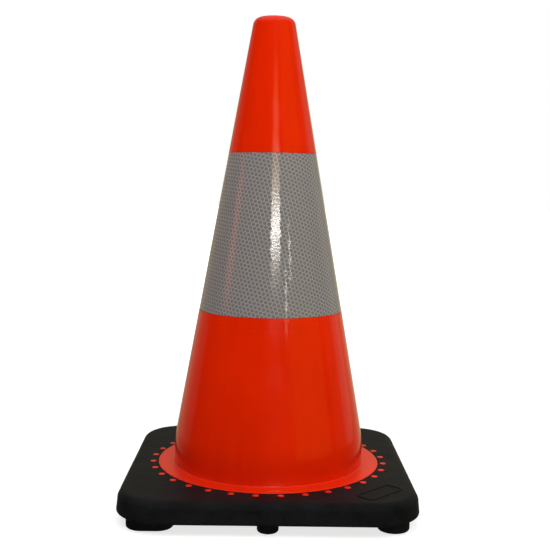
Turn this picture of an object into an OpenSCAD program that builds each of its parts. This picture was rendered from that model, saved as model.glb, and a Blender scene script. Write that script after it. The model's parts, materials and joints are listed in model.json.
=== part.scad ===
// Traffic cone, 450 mm: an orange shell and flange, the black ballast base moulded round the
// flange, and a reflective collar bonded to the shell. Millimetres, +Z up. The origin is on the
// ground at the centre of the base, below the cone's axis. -Y is the front.

/* [Cone] */
// Height of the whole cone above the ground
height = 450; // [380:5:520]
// Radius that the slanted wall would reach at the top of the base
root_r = 94.5; // [93:0.1:96]
// Radius that the slanted wall would reach at the very top
nose_r = 18.8; // [18:0.1:24]
// Outer radius of the upright heel, between the slanted wall and the flange
heel_r = 90.4; // [89:0.1:92]
// Radius of the bend from the slanted wall to the heel
heel_bend = 100; // [60:5:120]
// Thickness of the shell
wall_t = 2.6; // [2:0.1:3.5]
// Rounding of the nose, measured on the outside
nose_round = 8; // [6:0.2:9]
// Radius of the hole in the nose
hole_r = 10; // [8:0.1:10.5]
// Depth of the turned-down rim round that hole
rim_depth = 5.6; // [4:0.2:8]

/* [Flange] */
// Outer radius of the flange that shows on top of the base
flange_r = 105.8; // [103:0.1:107]
// Height of the flange above the top of the base
flange_rise = 0.6; // [0.2:0.1:1.5]
// Radius of the fillet between the heel and the flange
flange_fillet = 1.2; // [1:0.1:4]
// Outer radius of the anchor ring, which lies inside the base
anchor_r = 116.5; // [115:0.5:120]
// Thickness of the anchor ring
anchor_t = 4; // [3:0.5:5]
// Cover of base material over the anchor ring
anchor_cover = 4; // [3:0.5:5]
// Number of locking studs that rise from the anchor ring to the top of the base
stud_count = 32; // [16:4:40]
// Radius of the circle of studs
stud_ring_r = 110.8; // [109.5:0.1:112]
// Diameter of a stud
stud_d = 6; // [4:0.1:7]
// Height of a stud's end above the top of the base
stud_rise = 0.3; // [0.1:0.1:1]

/* [Base] */
// Width of the square base at its lower edge
base_w = 266.6; // [262:0.2:280]
// Height of the top of the base above the ground
base_top = 29; // [27:0.5:34]
// Height of the base's lower edge above the ground
skirt_gap = 9.5; // [7:0.5:11]
// Radius of the base's corners in plan
corner_r = 43; // [38:1:50]
// Rounding of the base's upper edge
edge_round = 7.5; // [5:0.5:9]
// Rounding of the base's lower edge
lower_round = 2; // [1:0.5:3]
// Draft angle of the base's sides
side_draft = 5; // [0:1:8]
// Radius of the opening through the middle of the base
opening_r = 88.7; // [88.2:0.1:89.6]

/* [Underside] */
// Height of the pockets' ceiling above the ground
pocket_top = 18; // [16:0.5:20]
// Width of the wall round the outside of the pockets
skirt_wall = 9; // [7:0.5:12]
// Width of the wall between the opening and the pockets
hub_wall = 7; // [6:0.5:10]
// Number of radial ribs
rib_count = 16; // [8:8:24]
// Width of a radial rib
rib_w = 5; // [4:0.5:8]

/* [Feet] */
// Radius of the ends of a corner foot
foot_r = 14; // [10:0.5:16]
// Distance between the two end centres of a corner foot
foot_run = 13.4; // [8:0.2:20]
// Distance from the base's lower edge to the outside of a corner foot
foot_inset = 10.8; // [9:0.2:14]
// Radius of a mid-side foot
mid_foot_r = 9.4; // [7:0.2:12]
// Distance from the base's lower edge to the outside of a mid-side foot
mid_foot_inset = 6.7; // [5:0.1:10]
// Rounding of the feet's lower edge
foot_round = 2.4; // [1:0.2:4]

/* [Moulded mark] */
// Length of the plain raised frame in the front right corner of the base
mark_l = 46; // [30:1:50]
// Width of that frame
mark_w = 20; // [12:1:24]
// Width of the frame's bead
mark_bead = 2.6; // [1:0.2:3]
// Height of the bead above the top of the base
mark_rise = 0.6; // [0.3:0.1:1.2]
// Distance from the cone's axis to the middle of the frame
mark_reach = 138; // [134:1:142]

/* [Collar] */
// Height of the collar's lower edge above the ground
collar_low = 176.6; // [150:0.2:200]
// Slant height of the collar
collar_slant = 149.6; // [100:0.2:150]
// Thickness of the reflective film
film_t = 0.5; // [0.3:0.1:0.8]
// Depth of the shell's recess that takes the film
recess_depth = 0.6; // [0.5:0.1:0.9]
// Gap between the film's edges and the ends of that recess
recess_gap = 0.3; // [0.1:0.1:1]
// Angle over which the two ends of the film lap, at the back
lap_angle = 8; // [4:1:15]

/* [Hidden] */
$fn = 96;

slope = (root_r - nose_r) / (height - base_top);
lean = atan(slope);
flange_top = base_top + flange_rise;
anchor_top = base_top - anchor_cover;
anchor_low = anchor_top - anchor_t;
collar_high = collar_low + collar_slant * cos(lean);
half_w = base_w / 2;
puck_at = half_w - corner_r;
foot_at = half_w - foot_inset - foot_r;
mid_foot_at = half_w - mid_foot_inset - mid_foot_r;
flange_edge_round = 0.5;
hole_edge_round = 1.6;
rim_t = 2.4;
arc_steps = 8;
through = 1;

// Outer radius of the slanted wall at a height
function wall_r(z) = nose_r + slope * (height - z);

// Points of an arc, from one angle to another
function arc(centre, r, from, to, steps = arc_steps) = [
    for (i = [0:steps])
        let (a = from + (to - from) * i / steps)
        [centre[0] + r * cos(a), centre[1] + r * sin(a)]
];

// Section of the shell and flange, as [radius, height]
nose_c = [wall_r(height - nose_round) - nose_round / cos(lean), height - nose_round];
nose_in_r = nose_round - wall_t;
recess_low = collar_low - recess_gap;
recess_high = collar_high + recess_gap;
recess_in = recess_depth / cos(lean);
heel_z = height - (heel_r - nose_r) / slope - heel_bend * tan(lean / 2);
heel_c = [heel_r - heel_bend, heel_z];
fillet_c = [heel_r + flange_fillet, flange_top + flange_fillet];
flange_edge_c = [flange_r - flange_edge_round, flange_top - flange_edge_round];
hole_edge_c = [hole_r + hole_edge_round, height - hole_edge_round];
rim_r = hole_r + rim_t;
shell_section = concat(
    arc(hole_edge_c, hole_edge_round, 180, 90),
    arc(nose_c, nose_round, 90, lean),
    [
        [wall_r(recess_high), recess_high],
        [wall_r(recess_high) - recess_in, recess_high],
        [wall_r(recess_low) - recess_in, recess_low],
        [wall_r(recess_low), recess_low]
    ],
    arc(heel_c, heel_bend, lean, 0),
    arc(fillet_c, flange_fillet, 180, 270),
    arc(flange_edge_c, flange_edge_round, 90, 0, 3),
    [
        [flange_r, anchor_top],
        [anchor_r, anchor_top],
        [anchor_r, anchor_low],
        [heel_r - wall_t, anchor_low]
    ],
    arc(heel_c, heel_bend - wall_t, 0, lean),
    arc(nose_c, nose_in_r, lean, acos((rim_r - nose_c[0]) / nose_in_r)),
    [
        [rim_r, height - rim_depth],
        [hole_r, height - rim_depth]
    ]
);

// Section of the base's edge, from the lower edge up to the top, for an outer reach
function edge_section(reach) =
    let (
        upper_z = base_top - edge_round,
        draft_in = (upper_z - skirt_gap) * tan(side_draft)
    )
    concat(
        arc([reach - lower_round, skirt_gap + lower_round], lower_round, 270, 360, 4),
        arc([reach - draft_in - edge_round, upper_z], edge_round, 0, 90)
    );

// Section of a foot, from the ground up to the pocket's ceiling, for an outer reach
function foot_section(reach) = concat(
    arc([reach - foot_round, foot_round], foot_round, 270, 360, 4),
    [[reach, pocket_top]]
);

// The same section on both sides of the axis, closed across the middle
function both_sides(section) = concat(
    section,
    [for (i = [len(section) - 1:-1:0]) [-section[i][0], section[i][1]]]
);

// The section turned about the axis
module turned(section) {
    last = len(section) - 1;
    rotate_extrude()
        polygon(concat([[0, section[0][1]]], section, [[0, section[last][1]]]));
}

// The section run along X for a length, centred
module run_along_x(section, length) {
    rotate([90, 0, 90])
        linear_extrude(height = length, center = true)
            polygon(both_sides(section));
}

// Copies at the four corners of a square
module at_corners(reach) {
    for (x = [-1, 1], y = [-1, 1])
        translate([x * reach, y * reach, 0])
            children();
}

// Square with round corners, in plan
module round_square(width, length, r) {
    square([width - 2 * r, length], center = true);
    square([width, length - 2 * r], center = true);
    for (x = [-1, 1], y = [-1, 1])
        translate([x * (width / 2 - r), y * (length / 2 - r)])
            circle(r);
}

// Copies of the studs' places, half a step round so that two studs flank the front
module at_studs() {
    for (i = [0:stud_count - 1])
        rotate([0, 0, (i + 0.5) * 360 / stud_count])
            translate([stud_ring_r, 0, 0])
                children();
}

// Square slab with round corners and rounded edges
module slab() {
    at_corners(puck_at)
        turned(edge_section(corner_r));
    for (turn = [0, 90])
        rotate([0, 0, turn])
            run_along_x(edge_section(half_w), 2 * puck_at);
}

// Pockets that core the slab from below, between the hub, the skirt and the ribs
module pockets() {
    pocket_w = base_w - 2 * skirt_wall;
    translate([0, 0, skirt_gap - through])
        linear_extrude(height = pocket_top - skirt_gap + through)
            difference() {
                round_square(pocket_w, pocket_w, corner_r - skirt_wall);
                circle(opening_r + hub_wall);
                for (i = [0:rib_count - 1])
                    rotate([0, 0, i * 360 / rib_count])
                        translate([0, -rib_w / 2])
                            square([base_w, rib_w]);
            }
}

// Oblong foot with its outer end at the origin and its other end towards +X
module corner_foot() {
    for (x = [0, foot_run])
        translate([x, 0, 0])
            turned(foot_section(foot_r));
    translate([foot_run / 2, 0, 0])
        run_along_x(foot_section(foot_r), foot_run);
}

// A corner foot and a mid-side foot, turned to each side
module feet() {
    for (turn = [0:90:270])
        rotate([0, 0, turn]) {
            translate([-foot_at, -foot_at, 0])
                corner_foot();
            translate([0, -mid_foot_at, 0])
                turned(foot_section(mid_foot_r));
        }
}

// Plain raised frame, with no lettering
module mark() {
    bead_r = mark_w / 4;
    rotate([0, 0, -45])
        translate([mark_reach, 0, base_top - mark_rise])
            linear_extrude(height = 2 * mark_rise)
                difference() {
                    round_square(mark_w, mark_l, bead_r);
                    round_square(mark_w - 2 * mark_bead, mark_l - 2 * mark_bead, bead_r - mark_bead);
                }
}

// Orange shell with its flange, anchor ring and locking studs, moulded in one shot
module cone_body() {
    color("orangered") {
        rotate_extrude()
            polygon(shell_section);
        translate([0, 0, anchor_top])
            at_studs()
                cylinder(h = anchor_cover + stud_rise, d = stud_d);
    }
}

// Black base, moulded round the flange
module base() {
    color("dimgray")
        difference() {
            union() {
                difference() {
                    slab();
                    pockets();
                }
                feet();
                mark();
            }
            translate([0, 0, -through])
                cylinder(h = base_top + 2 * through, r = opening_r);
            translate([0, 0, anchor_low])
                cylinder(h = anchor_t, r = anchor_r);
            translate([0, 0, anchor_top])
                cylinder(h = anchor_cover + through, r = flange_r);
            translate([0, 0, anchor_top])
                at_studs()
                    cylinder(h = anchor_cover + through, d = stud_d);
        }
}

// Section of the film between two distances from the bottom of the recess
function film_section(from, to) = [
    [wall_r(collar_low) - recess_in + from / cos(lean), collar_low],
    [wall_r(collar_low) - recess_in + to / cos(lean), collar_low],
    [wall_r(collar_high) - recess_in + to / cos(lean), collar_high],
    [wall_r(collar_high) - recess_in + from / cos(lean), collar_high]
];

// Reflective film wrapped once round the shell, with its end lapped over its start
module reflective_collar() {
    color("silver") {
        rotate_extrude()
            polygon(film_section(0, film_t));
        rotate([0, 0, 90 - lap_angle / 2])
            rotate_extrude(angle = lap_angle)
                polygon(film_section(film_t / 2, 2 * film_t));
    }
}

cone_body();
base();
reflective_collar();
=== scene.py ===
"""Looks of the 450 mm traffic cone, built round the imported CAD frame.

Metres, +Z up, -Y is the front.
"""

import json
import math

import bmesh
import bpy
import numpy as np
from mathutils import Matrix, Vector, noise


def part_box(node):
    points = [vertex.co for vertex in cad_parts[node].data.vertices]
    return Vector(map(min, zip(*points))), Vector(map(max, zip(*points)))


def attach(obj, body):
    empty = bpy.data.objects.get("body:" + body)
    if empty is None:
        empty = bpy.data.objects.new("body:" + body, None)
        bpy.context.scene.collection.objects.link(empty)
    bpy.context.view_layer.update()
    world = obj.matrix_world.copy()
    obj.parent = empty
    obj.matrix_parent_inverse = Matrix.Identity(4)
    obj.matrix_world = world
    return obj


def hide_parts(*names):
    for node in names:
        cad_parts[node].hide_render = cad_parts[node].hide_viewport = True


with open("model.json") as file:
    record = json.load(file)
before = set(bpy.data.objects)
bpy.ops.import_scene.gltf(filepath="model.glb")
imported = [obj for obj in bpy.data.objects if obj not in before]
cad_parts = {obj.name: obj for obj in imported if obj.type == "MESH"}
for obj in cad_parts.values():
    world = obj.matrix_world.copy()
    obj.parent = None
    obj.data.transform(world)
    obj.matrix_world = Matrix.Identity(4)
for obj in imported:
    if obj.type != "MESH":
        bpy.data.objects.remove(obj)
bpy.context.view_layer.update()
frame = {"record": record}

MM = 0.001

# ---------------------------------------------------------------- Sizes: from the frame
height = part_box("cone_body")[1].z
anchor_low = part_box("cone_body")[0].z
half_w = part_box("base")[1].x
collar_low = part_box("reflective_collar")[0].z
collar_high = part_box("reflective_collar")[1].z
nose_mount = [m for m in frame["record"]["mounts"] if m["name"] == "nose_hole"][0]
hole_r = nose_mount["dims"]["r_mm"] * MM

# ---------------------------------------------------------------- Sizes: the real cone's own
base_top = 29 * MM
root_r = 94.5 * MM
nose_r = 18.8 * MM
heel_r = 90.4 * MM
heel_bend = 100 * MM
wall_t = 2.6 * MM
nose_round = 8 * MM
rim_depth = 5.6 * MM
rim_t = 2.4 * MM
flange_r = 105.8 * MM
flange_rise = 0.6 * MM
flange_fillet = 1.2 * MM
anchor_r = 116.5 * MM
anchor_top = 25 * MM
stud_count = 32
stud_ring_r = 110.8 * MM
stud_r = 3 * MM
stud_rise = 0.3 * MM
stud_crown = 0.06 * MM
stud_edge = 0.5 * MM
hole_gap = 0.05 * MM
skirt_gap = 9.5 * MM
corner_r = 43 * MM
edge_round = 7.5 * MM
lower_round = 2 * MM
side_draft = math.radians(5)
opening_r = 88.7 * MM
pocket_top = 18 * MM
skirt_wall = 9 * MM
hub_wall = 7 * MM
rib_count = 16
rib_w = 5 * MM
rib_taper = 0.3 * MM
foot_r = 14 * MM
foot_run = 13.4 * MM
foot_inset = 10.8 * MM
mid_foot_r = 9.4 * MM
mid_foot_inset = 6.7 * MM
foot_round = 2.4 * MM
mark_l = 46 * MM
mark_w = 20 * MM
mark_bead = 2.6 * MM
mark_rise = 0.6 * MM
mark_reach = 138 * MM
film_t = 0.5 * MM
film_relief = 0.01 * MM
glue_t = 0.05 * MM
recess_depth = 0.6 * MM
recess_gap = 0.3 * MM
# Heights, from the collar's ends, of the two painted shade lines that stand for the mould's
# hairline grooves
hairline_shade_above = 5.8 * MM
hairline_shade_below = 9.1 * MM
lap_angle = math.radians(8)
lap_ramp = math.radians(3)
cell_pitch = 3.95 * MM
cell_tilt = math.radians(-14.6)
seal_share = 0.24

# ---------------------------------------------------------------- Sizes: worked out
slope = (root_r - nose_r) / (height - base_top)
lean = math.atan(slope)
flange_top = base_top + flange_rise
apex_z = height + nose_r / slope


def wall_r(z):
    """Outer radius of the slanted wall at a height."""
    return nose_r + slope * (height - z)


def smoothstep(low, high, x):
    """0 up to low, 1 from high on, and an even rise between them; low may be the larger one."""
    t = np.clip((np.asarray(x, float) - low) / (high - low), 0, 1)
    return t * t * (3 - 2 * t)


# ---------------------------------------------------------------- Mesh helpers
def mesh_object(name, verts, faces):
    """An object of the scene, made from lists of points and faces."""
    mesh = bpy.data.meshes.new(name)
    mesh.from_pydata([tuple(v) for v in verts], [], faces)
    mesh.validate()
    obj = bpy.data.objects.new(name, mesh)
    bpy.context.scene.collection.objects.link(obj)
    return obj


def face_outwards(obj):
    """Makes every face's normal point out of its closed solid."""
    bm = bmesh.new()
    bm.from_mesh(obj.data)
    bmesh.ops.recalc_face_normals(bm, faces=bm.faces)
    bm.to_mesh(obj.data)
    bm.free()
    return obj


def smooth(obj, degrees):
    """Smooth shading, with edges sharper than the angle kept crisp."""
    obj.data.shade_smooth()
    obj.data.set_sharp_from_angle(angle=math.radians(degrees))
    return obj


def apply_modifiers(obj):
    """Turns the object's modifiers into its mesh."""
    graph = bpy.context.evaluated_depsgraph_get()
    mesh = bpy.data.meshes.new_from_object(obj.evaluated_get(graph))
    obj.modifiers.clear()
    old = obj.data
    obj.data = mesh
    mesh.name = obj.name
    bpy.data.meshes.remove(old)
    return obj


def combine(obj, tool, operation):
    """Adds the tool's closed solids to obj, or cuts them out of it, and removes the tool."""
    mod = obj.modifiers.new(operation.lower(), "BOOLEAN")
    mod.operation = operation
    mod.solver = "MANIFOLD"
    mod.object = tool
    apply_modifiers(obj)
    bpy.data.objects.remove(tool)
    return obj


def arc(centre, r, start, end, steps):
    """Points of an arc in a section, between two angles in degrees."""
    turns = [math.radians(start + (end - start) * i / steps) for i in range(steps + 1)]
    return [(centre[0] + r * math.cos(a), centre[1] + r * math.sin(a)) for a in turns]


def between(a, b, steps):
    """Points strictly between two points of a section."""
    return [tuple(a[k] + (b[k] - a[k]) * i / steps for k in (0, 1)) for i in range(1, steps)]


def ring_faces(rings, count, closed):
    """Quads that join rings of count points each; closed joins the last ring to the first."""
    faces = []
    for j in range(rings if closed else rings - 1):
        a, b = j * count, ((j + 1) % rings) * count
        for i in range(count):
            k = (i + 1) % count
            faces.append((a + i, a + k, b + k, b + i))
    return faces


def ring_solid(name, rings, closed=False):
    """A closed solid from rings of points: a closed loop of rings, or a stack with two caps."""
    count = len(rings[0])
    verts = [p for ring in rings for p in ring]
    faces = ring_faces(len(rings), count, closed)
    if not closed:
        faces.append(tuple(range(count)))
        faces.append(tuple(range((len(rings) - 1) * count, len(rings) * count)))
    return face_outwards(mesh_object(name, verts, faces))


def lathe(name, section, steps):
    """The closed section of (radius, height) points turned about the cone's axis."""
    turns = [2 * math.pi * i / steps for i in range(steps)]
    rings = [[(r * math.cos(a), r * math.sin(a), z) for a in turns] for r, z in section]
    return ring_solid(name, rings, closed=True)


def outline(half_x, half_y, r, side_steps, corner_steps):
    """Rounded rectangle in plan: (x, y, normal x, normal y), counterclockwise."""
    points = []
    for quarter in range(4):
        sx = 1 if quarter in (0, 3) else -1
        sy = 1 if quarter in (0, 1) else -1
        cx, cy = sx * (half_x - r), sy * (half_y - r)
        for i in range(corner_steps + 1):
            a = math.pi / 2 * (quarter + i / corner_steps)
            c, s = math.cos(a), math.sin(a)
            points.append((cx + r * c, cy + r * s, c, s))
        run = 2 * ((half_x - r) if quarter in (0, 2) else (half_y - r))
        if run < 1e-9:
            points.pop()
            continue
        a = math.pi / 2 * (quarter + 1)
        x, y, nx, ny = points[-1]
        for i in range(1, side_steps):
            step = run * i / side_steps
            points.append((x - ny * step, y + nx * step, nx, ny))
    return np.array(points)


def level(path, inset, z, at=(0, 0)):
    """A ring that follows the outline at an inset and a height."""
    x = path[:, 0] - path[:, 2] * inset + at[0]
    y = path[:, 1] - path[:, 3] * inset + at[1]
    return np.stack([x, y, np.full(len(x), z)], 1)


def join(name, objects):
    """One object from several, which keeps their solids apart."""
    bm = bmesh.new()
    for obj in objects:
        bm.from_mesh(obj.data)
        bpy.data.objects.remove(obj)
    mesh = bpy.data.meshes.new(name)
    bm.to_mesh(mesh)
    bm.free()
    joined = bpy.data.objects.new(name, mesh)
    bpy.context.scene.collection.objects.link(joined)
    return joined


def turn_about_axis(obj, angle):
    """Turns the object's mesh about the cone's axis."""
    obj.data.transform(Matrix.Rotation(angle, 4, "Z"))
    return obj


# ---------------------------------------------------------------- Orange shell, flange and studs
def wall_wave(x, y, z):
    """Slight unevenness of the soft moulding, which bends its reflections."""
    broad = noise.noise(Vector((x * 16, y * 16, z * 7 + 3)))
    fine = noise.noise(Vector((x * 45 + 9, y * 45, z * 20)))
    return (0.07 * broad + 0.02 * fine) * MM


def recess_end(z):
    """The outer and inner corners of one end of the collar's recess."""
    return [(wall_r(z), z), (wall_r(z) - recess_depth / math.cos(lean), z)]


def shell_section():
    """The shell's closed section, from the nose hole down the outside and up the inside."""
    nose_c = (wall_r(height - nose_round) - nose_round / math.cos(lean), height - nose_round)
    lean_deg = math.degrees(lean)
    heel_z = height - (heel_r - nose_r) / slope - heel_bend * math.tan(lean / 2)
    heel_c = (heel_r - heel_bend, heel_z)
    fillet_c = (heel_r + flange_fillet, flange_top + flange_fillet)
    edge = 0.5 * MM
    nose_in = nose_round - wall_t
    rim_r = hole_r + rim_t
    rim_angle = math.degrees(math.acos((rim_r - nose_c[0]) / nose_in))
    mouth_round = 1.6 * MM
    mouth = arc((hole_r + mouth_round, height - mouth_round), mouth_round, 180, 90, 10)
    nose = arc(nose_c, nose_round, 90, lean_deg, 20)
    upper_end = recess_end(collar_high + recess_gap)
    lower_end = recess_end(collar_low - recess_gap)[::-1]
    bend = arc(heel_c, heel_bend, lean_deg, 0, 14)
    fillet = arc(fillet_c, flange_fillet, 180, 270, 12)
    rim = arc((flange_r - edge, flange_top - edge), edge, 90, 0, 6)
    heel = (heel_r - wall_t, anchor_low)
    inner_bend = arc(heel_c, heel_bend - wall_t, 0, lean_deg, 12)
    dome = arc(nose_c, nose_in, lean_deg, rim_angle, 14)
    return (
        mouth + nose + between(nose[-1], upper_end[0], 26) + upper_end
        + between(upper_end[-1], lower_end[0], 32) + lower_end
        + between(lower_end[-1], bend[0], 26) + bend + between(bend[-1], fillet[0], 3) + fillet
        + between(fillet[-1], rim[0], 6) + rim
        + [(flange_r, anchor_top), (anchor_r, anchor_top), (anchor_r, anchor_low), heel]
        + between(heel, inner_bend[0], 4) + inner_bend
        + between(inner_bend[-1], dome[0], 60) + dome
        + [(rim_r, height - rim_depth), (hole_r, height - rim_depth)]
    )


def at_ring(count, radius, offset):
    """Places evenly round the axis, as (x, y)."""
    turns = [(i + offset) * 2 * math.pi / count for i in range(count)]
    return [(radius * math.cos(a), radius * math.sin(a)) for a in turns]


def stud(place, low, high, r, edge):
    """A round stud with a rounded edge and a slightly crowned end."""
    circle = outline(r, r, r, 1, 8)
    rounding = arc((0, high - edge), edge, 0, 90, 4)
    rings = [level(circle, 0, low, place)]
    rings += [level(circle, edge - x, z, place) for x, z in rounding]
    rings.append(level(circle, r * 0.7, high + stud_crown, place))
    return ring_solid("stud", rings)


def studs(r, low, high, edge):
    """The ring of studs as one object."""
    places = at_ring(stud_count, stud_ring_r, 0.5)
    return join("studs", [stud(place, low, high, r, edge) for place in places])


def make_shell():
    """The shell with its slight unevenness and its studs."""
    shell = lathe("cone_shell", shell_section(), 224)
    for v in shell.data.vertices:
        x, y, z = v.co
        out = math.hypot(x, y)
        fade_low = smoothstep(flange_top, flange_top + 20 * MM, z)
        fade_high = smoothstep(height - nose_round, height - 25 * MM, z)
        grow = 1 + wall_wave(x, y, z) * float(fade_low * fade_high) / out
        v.co = (x * grow, y * grow, z)
    stud_top = base_top + stud_rise - stud_crown
    combine(shell, studs(stud_r, anchor_top - 1 * MM, stud_top, stud_edge), "UNION")
    return smooth(shell, 35)


# ---------------------------------------------------------------- Black base
def base_outline():
    """The base's rounded square in plan."""
    return outline(half_w, half_w, corner_r, 64, 48)


def base_rings():
    """Rings of the base's skin, from the flange's recess out over the top and back below."""
    path = base_outline()
    away = np.hypot(path[:, 0], path[:, 1])
    unit = path[:, :2] / away[:, None]

    def circle(r, z):
        return np.column_stack([unit * r, np.full(len(path), z)])

    def blend(a, b, t):
        return a + (b - a) * t

    upper_z = base_top - edge_round
    draft_in = (upper_z - skirt_gap) * math.tan(side_draft)
    flat_in = draft_in + edge_round
    recess = circle(flange_r, base_top)
    brink = level(path, flat_in, base_top)
    rings = [blend(recess, brink, i / 26) for i in range(27)]
    rounding = arc((flat_in, upper_z), edge_round, 90, 180, 14)[1:]
    rings += [level(path, x, z) for x, z in rounding]
    lower_arc = arc((lower_round, skirt_gap + lower_round), lower_round, 180, 270, 6)
    side = between(rounding[-1], lower_arc[0], 8)
    rings += [level(path, x, z) for x, z in side + lower_arc]
    inner = level(path, skirt_wall, skirt_gap)
    ceiling = level(path, skirt_wall, pocket_top)
    hub = circle(opening_r + hub_wall, pocket_top)
    rings += [inner, ceiling] + [blend(ceiling, hub, i / 8) for i in range(1, 8)] + [hub]
    rings += [circle(opening_r + hub_wall, skirt_gap), circle(opening_r, skirt_gap)]
    rings += [circle(opening_r, anchor_low), circle(anchor_r, anchor_low)]
    rings += [circle(anchor_r, anchor_top), circle(flange_r, anchor_top)]
    return rings


def roughen(obj):
    """Sinks the skin by small uneven amounts, as moulded recycled plastic does."""
    mesh = obj.data
    normals = np.array([v.normal for v in mesh.vertices])
    for v, n in zip(mesh.vertices, normals):
        x, y, z = v.co
        if math.hypot(x, y) < flange_r + 0.5 * MM:
            continue
        broad = noise.noise(Vector((x, y, z)) * 22)
        fine = noise.noise(Vector((x, y, z)) * 120)
        sink = (0.09 * (1 + broad) + 0.03 * (1 + fine)) * MM
        v.co -= Vector(n) * sink


def rib(angle, reach):
    """One radial rib, from the hub wall into the skirt wall."""
    low, high = skirt_gap + 0.4 * MM, pocket_top + 1 * MM
    start = opening_r + hub_wall - 2 * MM
    path = outline((reach - start) / 2, rib_w / 2, 0.4 * MM, 2, 2)
    at = ((reach + start) / 2, 0)
    solid = ring_solid("rib", [level(path, rib_taper, low, at), level(path, 0, high, at)])
    return turn_about_axis(solid, angle)


def ribs():
    """The ribs as one object, each as long as the outline allows at its bearing."""
    path = base_outline()
    bearings = np.arctan2(path[:, 1], path[:, 0])
    order = np.argsort(bearings)
    away = np.hypot(path[:, 0], path[:, 1])[order]
    solids = []
    for i in range(rib_count):
        angle = 2 * math.pi * i / rib_count
        wrapped = (angle + math.pi) % (2 * math.pi) - math.pi
        edge = float(np.interp(wrapped, bearings[order], away, period=2 * math.pi))
        solids.append(rib(angle, edge - skirt_wall / 2))
    return join("ribs", solids)


def foot(half_x, r, at):
    """An oblong or round foot with a rounded lower edge, up into the base."""
    path = outline(half_x, r, r, 10 if half_x > r else 1, 14)
    low_edge = arc((foot_round, foot_round), foot_round, 270, 180, 8)
    rings = [level(path, r * 0.6, 0, at)]
    rings += [level(path, x, z, at) for x, z in low_edge]
    rings.append(level(path, 0, pocket_top + 1 * MM, at))
    return ring_solid("foot", rings)


def feet():
    """An oblong foot at each corner and a round one at each side, by quarter turns."""
    corner_at = half_w - foot_inset - foot_r
    mid_at = half_w - mid_foot_inset - mid_foot_r
    solids = []
    for quarter in range(4):
        angle = quarter * math.pi / 2
        oblong = foot(foot_r + foot_run / 2, foot_r, (-corner_at + foot_run / 2, -corner_at))
        round_one = foot(mid_foot_r, mid_foot_r, (0, -mid_at))
        solids += [turn_about_axis(oblong, angle), turn_about_axis(round_one, angle)]
    return join("feet", solids)


def mark():
    """A plain raised frame in the front right corner, with no lettering."""
    path = outline(mark_w / 2, mark_l / 2, mark_w / 4, 12, 8)
    sunk = 0.2 * MM
    profile = arc((mark_bead / 2, base_top - sunk), 1, 180, 540, 16)[:-1]
    rings = []
    for x, z in profile:
        across = mark_bead / 2 * (1 + (x - mark_bead / 2))
        up = (z - base_top + sunk) * (mark_rise + sunk) + base_top - sunk
        rings.append(level(path, across, up, (mark_reach, 0)))
    return turn_about_axis(ring_solid("mark", rings, closed=True), -math.pi / 4)


def make_base():
    """The base with ribs, feet and mark, and with a hole for each stud."""
    base = ring_solid("base_block", base_rings(), closed=True)
    roughen(base)
    combine(base, ribs(), "UNION")
    combine(base, feet(), "UNION")
    combine(base, mark(), "UNION")
    holes = studs(stud_r + hole_gap, anchor_top - 0.5 * MM, base_top + 2 * MM, 0.2 * MM)
    combine(base, holes, "DIFFERENCE")
    return smooth(base, 40)


# ---------------------------------------------------------------- Honeycomb collar
def to_cone(u, v, lift):
    """A point of the flat film, wrapped round the cone; lift is its height over the shell."""
    along = math.hypot(u, v)
    turn = math.atan2(u, -v) / math.sin(lean)
    lap_start = math.pi - lap_angle / 2
    in_lap = float(smoothstep(lap_start - lap_ramp, lap_start, turn))
    lift += film_t * in_lap - recess_depth
    r = along * math.sin(lean)
    z = apex_z - along * math.cos(lean)
    out = r + lift * math.cos(lean)
    out += wall_wave(r * math.sin(turn), -r * math.cos(turn), z)
    return Vector((out * math.sin(turn), -out * math.cos(turn), z + lift * math.sin(lean)))


def compass(angle):
    """Unit vector in the flat film's plane."""
    return Vector((math.cos(angle), math.sin(angle)))


def cut_away(bm, point, normal):
    """Removes what lies beyond a plane, on the side its normal points to."""
    geom = bm.verts[:] + bm.edges[:] + bm.faces[:]
    bmesh.ops.bisect_plane(bm, geom=geom, plane_co=point, plane_no=normal, clear_outer=True)


def flat_film():
    """The flat film's cells as a bmesh in (u, v, relief), a little larger than the collar."""
    bm = bmesh.new()
    near, far = ((apex_z - z) / math.cos(lean) for z in (collar_high, collar_low))
    half_turn = (math.pi + lap_angle / 2) * math.sin(lean)
    margin = 1.5 * cell_pitch
    corner_reach = cell_pitch / math.sqrt(3)
    inner_share = 1 - seal_share
    a1 = compass(cell_tilt) * cell_pitch
    a2 = compass(cell_tilt + math.pi / 3) * cell_pitch
    corners = [compass(cell_tilt + math.radians(30 + 60 * k)) for k in range(6)]
    nodes = {}

    def shared(p):
        """The vertex that neighbouring cells share at a corner."""
        key = (round(p.x / cell_pitch * 50), round(p.y / cell_pitch * 50))
        for du in (-1, 0, 1):
            for dv in (-1, 0, 1):
                found = nodes.get((key[0] + du, key[1] + dv))
                if found:
                    return found
        nodes[key] = bm.verts.new((p.x, p.y, film_relief))
        return nodes[key]

    reach = int(far / cell_pitch * 1.3) + 2
    for i in range(-reach, reach):
        for j in range(-reach, reach):
            c = a1 * i + a2 * j
            along = c.length
            if not near - margin < along < far + margin:
                continue
            if abs(math.atan2(c.x, -c.y)) > half_turn + margin / along:
                continue
            outer = [shared(c + d * corner_reach) for d in corners]
            inner = [bm.verts.new((*(c + d * corner_reach * inner_share), 0)) for d in corners]
            middle = bm.verts.new((c.x, c.y, film_relief * 0.4))
            for k in range(6):
                n = (k + 1) % 6
                bm.faces.new((outer[k], outer[n], inner[n], inner[k]))
                bm.faces.new((inner[k], inner[n], middle))
    layer = bm.loops.layers.uv.new("film")
    for f in bm.faces:
        for loop in f.loops:
            loop[layer].uv = loop.vert.co.xy / cell_pitch
    for side in (-1, 1):
        edge = Vector((side * math.cos(half_turn), math.sin(half_turn), 0))
        cut_away(bm, (0, 0, 0), edge)
    return bm


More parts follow.
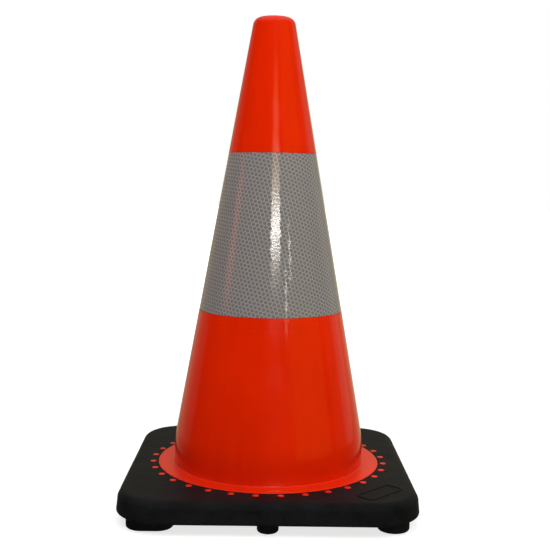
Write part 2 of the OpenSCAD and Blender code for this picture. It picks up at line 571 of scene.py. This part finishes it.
def inward_faces(bm):
    """Faces whose normal points towards the cone's axis."""
    return [f for f in bm.faces if f.normal.xy.dot(f.calc_center_median().xy) < 0]


def make_collar():
    """The flat film wrapped round the cone, cut level at both ends and given its thickness."""
    bm = flat_film()
    for v in bm.verts:
        v.co = to_cone(v.co.x, v.co.y, film_t - film_relief + v.co.z)
    for z, up in ((collar_low, -1), (collar_high, 1)):
        cut_away(bm, (0, 0, z), (0, 0, up))
    bmesh.ops.recalc_face_normals(bm, faces=bm.faces)
    bmesh.ops.reverse_faces(bm, faces=inward_faces(bm))
    mesh = bpy.data.meshes.new("collar_film")
    bm.to_mesh(mesh)
    bm.free()
    film = bpy.data.objects.new("collar_film", mesh)
    bpy.context.scene.collection.objects.link(film)
    body = film.modifiers.new("thickness", "SOLIDIFY")
    body.thickness = film_t - glue_t
    body.offset = -1
    apply_modifiers(film)
    return smooth(film, 50)


# ---------------------------------------------------------------- Materials
class Nodes:
    """Short calls that add and link a material's nodes."""

    def __init__(self, name):
        self.material = bpy.data.materials.new(name)
        self.material.use_nodes = True
        self.tree = self.material.node_tree
        self.tree.nodes.clear()
        output = self.tree.nodes.new("ShaderNodeOutputMaterial")
        self.shader = self.tree.nodes.new("ShaderNodeBsdfPrincipled")
        self.link(self.shader.outputs[0], output.inputs[0])

    def link(self, a, b):
        self.tree.links.new(a, b)

    def put(self, socket, value):
        if isinstance(value, bpy.types.NodeSocket):
            self.link(value, socket)
        else:
            socket.default_value = value

    def set(self, **values):
        """Sets inputs of the shader, such as base_color for its Base Color."""
        for name, value in values.items():
            label = name.replace("_", " ").title().replace("Ior", "IOR")
            self.put(self.shader.inputs[label], value)

    def object_place(self, scale=(1, 1, 1)):
        place = self.tree.nodes.new("ShaderNodeTexCoord")
        mapping = self.tree.nodes.new("ShaderNodeMapping")
        mapping.inputs["Scale"].default_value = scale
        self.link(place.outputs["Object"], mapping.inputs[0])
        return mapping.outputs[0]

    def film_uv(self):
        """Place on the flat film, in cells."""
        uv = self.tree.nodes.new("ShaderNodeUVMap")
        uv.uv_map = "film"
        return uv.outputs[0]

    def axes(self, place):
        split = self.tree.nodes.new("ShaderNodeSeparateXYZ")
        self.link(place, split.inputs[0])
        return split.outputs

    def noise(self, place, scale, detail=3, rough=0.55):
        node = self.tree.nodes.new("ShaderNodeTexNoise")
        self.link(place, node.inputs["Vector"])
        node.inputs["Scale"].default_value = scale
        node.inputs["Detail"].default_value = detail
        node.inputs["Roughness"].default_value = rough
        return node.outputs["Fac"]

    def math(self, operation, a, b=0.0):
        node = self.tree.nodes.new("ShaderNodeMath")
        node.operation = operation
        for socket, value in zip(node.inputs, (a, b)):
            self.put(socket, value)
        return node.outputs[0]

    def weighted(self, a, share, b):
        """A blend of two values, with a's share of the whole given."""
        rest = self.math("MULTIPLY", b, 1 - share)
        return self.math("ADD", self.math("MULTIPLY", a, share), rest)

    def span(self, value, low, high, to_low, to_high):
        """Runs smoothly from to_low to to_high as the value goes from low to high."""
        node = self.tree.nodes.new("ShaderNodeMapRange")
        node.interpolation_type = "SMOOTHSTEP"
        for socket, v in zip(node.inputs, (value, low, high, to_low, to_high)):
            self.put(socket, v)
        return node.outputs[0]

    def mix(self, factor, a, b):
        node = self.tree.nodes.new("ShaderNodeMix")
        node.data_type = "RGBA"
        self.put(node.inputs[0], factor)
        self.put(node.inputs[6], a)
        self.put(node.inputs[7], b)
        return node.outputs[2]

    def bump(self, height_value, strength, distance):
        node = self.tree.nodes.new("ShaderNodeBump")
        node.inputs["Strength"].default_value = strength
        node.inputs["Distance"].default_value = distance
        self.put(node.inputs["Height"], height_value)
        return node.outputs[0]


def orange_pvc():
    """Glossy PVC: faint flow marks, orange peel, painted shade lines for the mould's two
    hairlines, a duller flange.
    """
    n = Nodes("orange_pvc")
    cloud = n.noise(n.object_place(), 14, 3)
    flow = n.noise(n.object_place((1, 1, 0.08)), 90, 4)
    tone = n.span(n.weighted(cloud, 0.6, flow), 0.3, 0.7, 0, 1)
    clean = n.mix(tone, (0.68, 0.0160, 0.0001, 1), (0.76, 0.0190, 0.0003, 1))
    level_z = n.axes(n.object_place())[2]
    # Painted shade: two thin darker lines above and below the collar stand in for the shade of
    # the mould's hairline grooves, which the mesh doesn't have
    upper = n.math("ABSOLUTE", n.math("SUBTRACT", level_z, collar_high + hairline_shade_above))
    lower = n.math("ABSOLUTE", n.math("SUBTRACT", level_z, collar_low - hairline_shade_below))
    hairline_shade = n.span(n.math("MINIMUM", upper, lower), 0.2 * MM, 0.7 * MM, 0.18, 0)
    color = n.mix(hairline_shade, clean, (0.45, 0.012, 0.0002, 1))
    peel = n.noise(n.object_place(), 900, 2)
    streak = n.noise(n.object_place((1, 1, 0.05)), 260, 3)
    relief = n.weighted(peel, 0.35, streak)
    gloss = n.span(n.noise(n.object_place(), 35, 4), 0.3, 0.7, 0.09, 0.15)
    rough = n.span(level_z, flange_top + 0.5 * MM, flange_top + 0.9 * MM, 0.4, gloss)
    n.set(base_color=color, roughness=rough, ior=1.5)
    n.set(normal=n.bump(relief, 0.25, 0.0001))
    return n.material


def black_pvc():
    """Matt recycled PVC: mottled near-black, with a fine moulded grain."""
    n = Nodes("black_base")
    mottle = n.noise(n.object_place(), 45, 5, 0.6)
    speck = n.noise(n.object_place(), 700, 3, 0.6)
    tone = n.span(n.weighted(mottle, 0.65, speck), 0.32, 0.68, 0, 1)
    color = n.mix(tone, (0.0028, 0.0030, 0.0034, 1), (0.0090, 0.0097, 0.0106, 1))
    grain = n.noise(n.object_place(), 1300, 4, 0.65)
    pits = n.noise(n.object_place(), 330, 3, 0.6)
    relief = n.weighted(grain, 0.5, pits)
    rough = n.span(mottle, 0.3, 0.7, 0.56, 0.68)
    n.set(base_color=color, roughness=rough, ior=1.45, specular_ior_level=0.18)
    n.set(normal=n.bump(relief, 0.5, 0.0003))
    return n.material


def cell_distance(n):
    """Distance from the nearest cell's middle, across flats: 0 in the middle, 0.5 on a line."""
    u, v = n.axes(n.film_uv())[:2]
    c, s = math.cos(cell_tilt), math.sin(cell_tilt)
    x = n.math("ADD", n.math("MULTIPLY", u, c), n.math("MULTIPLY", v, s))
    y = n.math("ADD", n.math("MULTIPLY", u, -s), n.math("MULTIPLY", v, c))
    tall = math.sqrt(3)
    half = tall / 2
    distances = []
    for shift_x, shift_y in ((0.5, half), (0, 0)):
        px = n.math("SUBTRACT", n.math("FLOORED_MODULO", n.math("ADD", x, shift_x), 1.0), 0.5)
        py = n.math("SUBTRACT", n.math("FLOORED_MODULO", n.math("ADD", y, shift_y), tall), half)
        ax = n.math("ABSOLUTE", px)
        ay = n.math("ABSOLUTE", py)
        slant = n.math("ADD", n.math("MULTIPLY", ax, 0.5), n.math("MULTIPLY", ay, half))
        distances.append(n.math("MAXIMUM", ax, slant))
    return n.math("MINIMUM", *distances)


def film_streaks(n):
    """Fine slanting ridges of the film's top skin, which comb the highlights."""
    mapping = n.tree.nodes.new("ShaderNodeMapping")
    mapping.inputs["Rotation"].default_value = (0, 0, math.radians(57))
    mapping.inputs["Scale"].default_value = (0.35, 3.4, 1)
    n.link(n.film_uv(), mapping.inputs[0])
    return n.noise(mapping.outputs[0], 1.0, 2, 0.5)


def reflective_film():
    """Clear glossy film over retroreflective cells: dark round cells, pale seal lines."""
    n = Nodes("reflective_film")
    away = cell_distance(n)
    patchy = n.noise(n.object_place(), 60, 3)
    dark, pale = (0.159, 0.148, 0.143, 1), (0.278, 0.266, 0.257, 1)
    cell = n.mix(n.span(away, 0.32, 0.46, 0, 1), dark, pale)
    lines = n.mix(n.span(away, 0.45, 0.49, 0, 1), cell, (0.395, 0.38, 0.37, 1))
    tinted = n.mix(n.span(patchy, 0.3, 0.7, 0, 0.12), lines, (0.167, 0.156, 0.151, 1))
    n.set(base_color=tinted, roughness=0.6, ior=1.45)
    n.set(coat_weight=1.0, coat_roughness=0.065)
    n.shader.inputs["Coat IOR"].default_value = 1.5
    n.set(coat_normal=n.bump(film_streaks(n), 0.9, 0.00003))
    return n.material


def floor_paper():
    """Pale studio table, lit from below so that shadows on it stay light."""
    n = Nodes("studio_paper")
    fibre = n.noise(n.object_place(), 400, 3)
    n.set(base_color=n.mix(fibre, (0.39, 0.39, 0.39, 1), (0.42, 0.42, 0.42, 1)), roughness=0.9)
    away = n.tree.nodes.new("ShaderNodeVectorMath")
    away.operation = "LENGTH"
    n.link(n.object_place(), away.inputs[0])
    glow = n.span(away.outputs["Value"], 0.3, 1.2, 0.74, 1.0)
    n.set(emission_color=(1, 1, 1, 1), emission_strength=glow)
    return n.material


def dress(obj, material):
    """Gives a piece its material and slot, and lets it ride on the one body."""
    obj.data.materials.clear()
    obj.data.materials.append(material)
    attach(obj, "root")


# ---------------------------------------------------------------- Studio
COLLAR_FRONT = (0, -60 * MM, 250 * MM)
CAMERA_PLACE = (-3.2 * MM, -908.4 * MM, 295 * MM)
CAMERA_TURN, CAMERA_PITCH, CAMERA_ROLL = (math.radians(a) for a in (-0.45, 90 - 5.41, 0.85))
FLOOR_R = 12
SOFT_DEGREES = 28
STRIP_AZIMUTH = 8


def make_floor():
    """A round table top that only the camera sees."""
    disc = outline(FLOOR_R, FLOOR_R, FLOOR_R, 1, 24)
    rings = [level(disc, inset, 0) for inset in (0, 6, 11)]
    verts = [p for ring in rings for p in ring]
    count = len(disc)
    faces = ring_faces(len(rings), count, False) + [tuple(range(2 * count, 3 * count))]
    floor = face_outwards(mesh_object("studio_floor", verts, faces))
    if floor.data.polygons[0].normal.z < 0:
        floor.data.flip_normals()
    floor.data.materials.append(floor_paper())
    floor.visible_glossy = False
    floor.visible_diffuse = False
    floor.visible_shadow = False


def direction(azimuth, elevation):
    """Unit vector; azimuth 0 points to the front, positive to the right."""
    a, e = math.radians(azimuth), math.radians(elevation)
    return Vector((math.sin(a) * math.cos(e), -math.cos(a) * math.cos(e), math.sin(e)))


def panel(
    name, azimuth, elevation, wide, tall, radiance,
    color=(1, 1, 1), focus=COLLAR_FRONT, distance=12,
):
    """A rectangular light that fills wide by tall degrees, seen from the focus."""
    light = bpy.data.lights.new(name, "AREA")
    light.shape = "RECTANGLE"
    light.size = 2 * distance * math.tan(math.radians(wide / 2))
    light.size_y = 2 * distance * math.tan(math.radians(tall / 2))
    light.energy = radiance * math.pi * light.size * light.size_y
    light.color = color
    obj = bpy.data.objects.new(name, light)
    bpy.context.scene.collection.objects.link(obj)
    out = direction(azimuth, elevation)
    obj.location = Vector(focus) + out * distance
    obj.rotation_euler = out.to_track_quat("Z", "Y").to_euler()
    obj.visible_camera = False
    return obj


def table_glow(strength):
    """Even light from below, as the luminous table gives."""
    light = bpy.data.lights.new("table_glow", "SUN")
    light.angle = math.pi
    light.energy = strength
    obj = bpy.data.objects.new("table_glow", light)
    bpy.context.scene.collection.objects.link(obj)
    obj.rotation_euler = (math.pi, 0, 0)
    obj.visible_camera = False
    return obj


def keep_matt(obj):
    """Makes a light that shows in no reflection."""
    obj.visible_glossy = False
    obj.data.cycles.use_multiple_importance_sampling = False


def soft(name, azimuth, elevation, radiance, **more):
    """A broad square light that shows in no reflection."""
    keep_matt(panel(name, azimuth, elevation, SOFT_DEGREES, SOFT_DEGREES, radiance, **more))


def strip(name, elevation, wide, tall, radiance, color):
    """One level band of the bright window that the collar mirrors as an upright streak."""
    panel(name, STRIP_AZIMUTH, elevation, wide, tall, radiance, color)


def make_world():
    """White for the camera; surfaces see a room that is dark in front and pale behind."""
    world = bpy.data.worlds.new("studio")
    bpy.context.scene.world = world
    world.use_nodes = True
    world.cycles.sampling_method = "NONE"
    tree = world.node_tree
    tree.nodes.clear()

    def node(kind, **inputs):
        made = tree.nodes.new(kind)
        for key, value in inputs.items():
            socket = made.inputs[int(key[1:])]
            if isinstance(value, bpy.types.NodeSocket):
                tree.links.new(value, socket)
            else:
                socket.default_value = value
        return made

    def maths(operation, a, b=0.0):
        made = node("ShaderNodeMath", _0=a, _1=b)
        made.operation = operation
        return made.outputs[0]

    def span(value, low, high, to_low, to_high):
        made = node("ShaderNodeMapRange", _0=value, _1=low, _2=high, _3=to_low, _4=to_high)
        made.interpolation_type = "SMOOTHSTEP"
        return made.outputs[0]

    def mix(factor, a, b):
        made = node("ShaderNodeMix", _0=factor, _6=a, _7=b)
        made.data_type = "RGBA"
        return made.outputs[2]

    place = tree.nodes.new("ShaderNodeTexCoord")
    split = node("ShaderNodeSeparateXYZ", _0=place.outputs["Generated"])
    x, y, z = split.outputs
    behind = maths("POWER", maths("MAXIMUM", y, 0.0), 3.0)
    wall = maths("ADD", maths("MULTIPLY", behind, span(x, -0.25, 0.25, 0.44, 0.65)), 0.012)
    room = maths("ADD", wall, span(z, 0.5, 0.95, 0.0, 0.62))
    camera_ray = tree.nodes.new("ShaderNodeLightPath").outputs["Is Camera Ray"]
    strength = maths("MAXIMUM", room, camera_ray)
    tint = mix(span(z, 0.3, 0.6, 0.0, 1.0), (1, 0.88, 0.54, 1), (0.86, 0.93, 1, 1))
    color = mix(camera_ray, tint, (1, 1, 1, 1))
    background = node("ShaderNodeBackground", _0=color, _1=strength)
    output = tree.nodes.new("ShaderNodeOutputWorld")
    tree.links.new(background.outputs[0], output.inputs[0])


def make_camera():
    """A little above the cone's middle, turned slightly down and tilted."""
    data = bpy.data.cameras.new("camera")
    data.sensor_width = 36
    data.lens = 62.45
    camera = bpy.data.objects.new("camera", data)
    bpy.context.scene.collection.objects.link(camera)
    aim = Matrix.Rotation(CAMERA_TURN, 4, "Z") @ Matrix.Rotation(CAMERA_PITCH, 4, "X")
    roll = Matrix.Rotation(CAMERA_ROLL, 4, "Z")
    camera.matrix_world = Matrix.Translation(CAMERA_PLACE) @ aim @ roll
    bpy.context.scene.camera = camera


def make_studio():
    """Hidden soft lights for the colours, and separate panels for what the gloss reflects."""
    make_floor()
    make_world()
    crown = (0, 0, height)
    keep_matt(table_glow(2.4))
    soft("key", 30, 45, 1.7)
    soft("side_right", 90, 30, 3.25)
    soft("side_left", -80, 25, 0.55, color=(1, 0.8, 0.7))
    soft("top", 0, 88, 1.75)
    soft("near_right", 32, 45, 2.4, focus=crown, distance=1)
    soft("near_left", -35, 45, 4.9, focus=crown, distance=1)
    strip("strip_core", 17.75, 17.5, 1.8, 27, (1, 0.97, 0.93))
    strip("strip_top", 19.6, 17.5, 2, 6.2, (1, 0.8, 0.6))
    strip("strip_glow", 21.3, 17.5, 1.5, 4.5, (1, 0.68, 0.38))
    strip("strip_fade", 24.8, 13, 5.6, 1.7, (1, 0.44, 0.13))
    strip("strip_low", 16.2, 16, 1.3, 5.2, (1, 0.85, 0.68))
    strip("strip_tail", 15, 13, 1.1, 1.7, (1, 0.82, 0.7))
    panel("thin_upper", 35, 15.2, 2.5, 1.6, 18, (1, 0.9, 0.76))
    panel("thin_lower", 26, 12.8, 2.5, 1.6, 16, (1, 0.88, 0.7))
    panel("warm_side", -80, 12.7, 13, 9, 1.6, (1, 0.13, 0.03))
    panel("left_wall", -131, 12, 42, 44, 0.14, (1, 0.6, 0.46))
    panel("right_warm", 56, 15, 50, 44, 0.2, (1, 0.8, 0.1))
    panel("right_soft", 99, 15, 20, 44, 0.1, (1, 0.8, 0.35))
    panel("right_wall", 121, 15, 24, 44, 0.28, (1, 0.88, 0.7))
    soft("rear_fill", 180, 20, 2.5)
    bpy.context.scene.view_settings.view_transform = "Standard"


# ---------------------------------------------------------------- Assembly
shell = make_shell()
base = make_base()
collar = make_collar()
dress(shell, orange_pvc())
dress(base, black_pvc())
dress(collar, reflective_film())
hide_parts("cone_body")
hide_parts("base")
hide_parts("reflective_collar")

make_camera()
make_studio()
